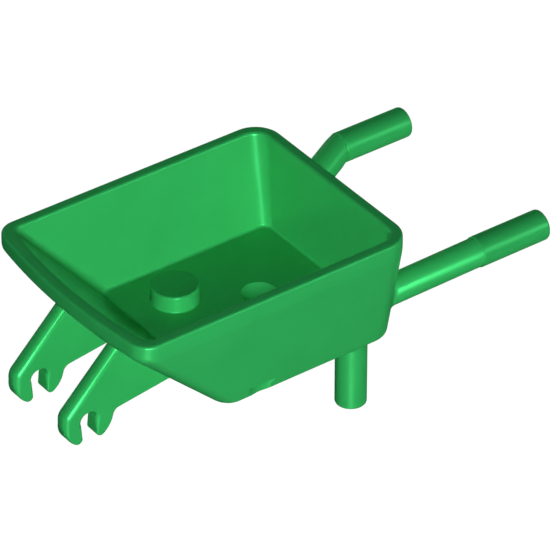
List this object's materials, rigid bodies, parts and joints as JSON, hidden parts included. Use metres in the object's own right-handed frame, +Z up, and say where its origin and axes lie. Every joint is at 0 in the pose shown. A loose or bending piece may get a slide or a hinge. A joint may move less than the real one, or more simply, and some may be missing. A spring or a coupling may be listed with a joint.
{
  "type": "toy wheelbarrow frame",
  "caption": "Small moulded toy wheelbarrow frame: sloping tray with a floor stud, round legs, splayed bar handles and a two-armed fork that clips over a wheel's axle.",
  "frame": {"origin": "on the ground plane that the legs stand on, under the middle of the overall length and on the plane of symmetry of the tray", "axes": "+Z up, -Y forward towards the fork and the wheel, +Y back towards the handles, +X to the barrow's own left"},
  "size_m": [0.0254, 0.0522, 0.02],
  "materials": {
    "moulding": "smooth glossy moulded green plastic"
  },
  "bodies": {
    "root": {"tray_floor": "moulding", "front_wall": "moulding", "rear_wall": "moulding", "left_wall": "moulding", "right_wall": "moulding", "rim": "moulding", "load_stud": "moulding", "left_fork_arm": "moulding", "right_fork_arm": "moulding", "left_axle_clip": "moulding", "right_axle_clip": "moulding", "left_handle": "moulding", "right_handle": "moulding", "left_grip": "moulding", "right_grip": "moulding", "left_leg": "moulding", "right_leg": "moulding"}
  },
  "joints": []
}
